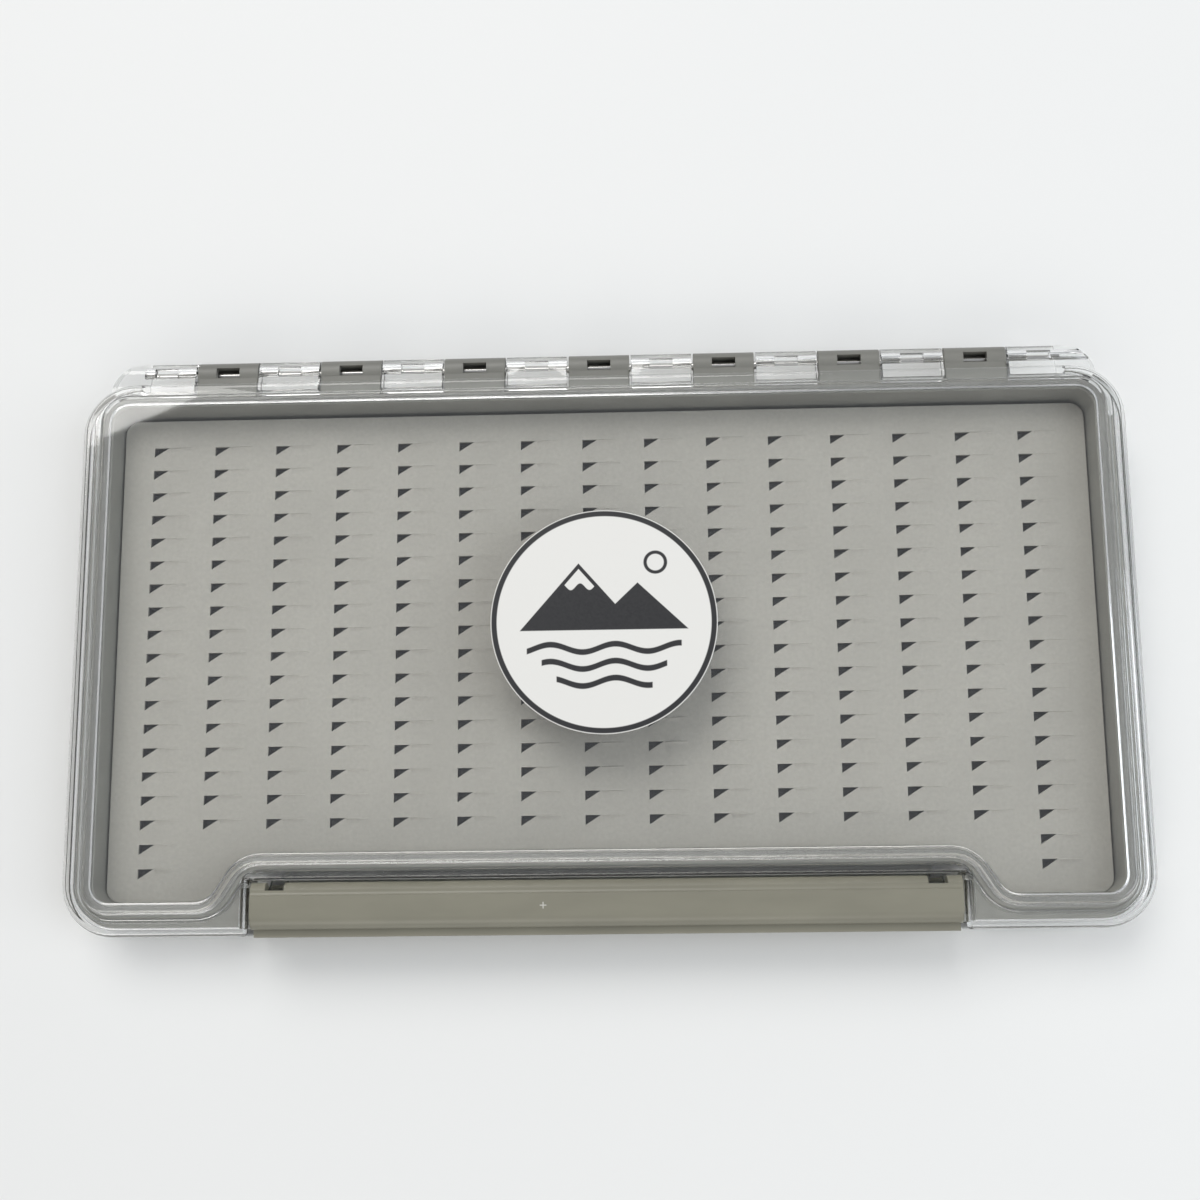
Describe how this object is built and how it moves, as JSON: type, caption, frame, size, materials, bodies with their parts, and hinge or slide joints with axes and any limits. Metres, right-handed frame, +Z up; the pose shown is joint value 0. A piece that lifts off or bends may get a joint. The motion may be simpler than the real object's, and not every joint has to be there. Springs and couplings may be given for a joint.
{
  "type": "slim fly box",
  "caption": "Slim pocket box that holds fishing flies in a slit silicone sheet, under a clear hinged lid with a snap latch along its front edge.",
  "frame": {"origin": "centre of the shut box's footprint, on the surface it lies on", "axes": "+X along the long side, +Y towards the hinge, +Z up out of the lid"},
  "size_m": [0.1984, 0.1102, 0.0159],
  "materials": {
    "tray_grey": "fine satin moulded ABS, warm grey",
    "latch_grey": "satin moulded ABS, warm grey",
    "insert_silicone": "matt light grey silicone",
    "backing_sheet": "matt dark grey adhesive sheet",
    "lid_clear": "clear polished polycarbonate",
    "gasket": "translucent silicone seal",
    "sticker": "white vinyl with a printed black motif",
    "pin_steel": "bright drawn steel wire"
  },
  "bodies": {
    "base": {"base_tray": "tray_grey", "slit_insert": "insert_silicone", "insert_backing": "backing_sheet", "hinge_pin": "pin_steel"},
    "lid": {"clear_lid": "lid_clear", "lid_gasket": "gasket", "lid_sticker": "sticker", "latch_pin_left": "pin_steel", "latch_pin_right": "pin_steel"},
    "latch": {"latch_bar": "latch_grey"}
  },
  "joints": [
    {"name": "lid_hinge", "type": "hinge", "parent": "base", "child": "lid", "pos_m": [0, 0.0526, 0.0092], "axis": [-1, 0, 0], "range_deg": [0, 180]},
    {"name": "latch_hinge", "type": "hinge", "parent": "lid", "child": "latch", "pos_m": [0, -0.04745, 0.0112], "axis": [-1, 0, 0], "range_deg": [0, 90]}
  ]
}
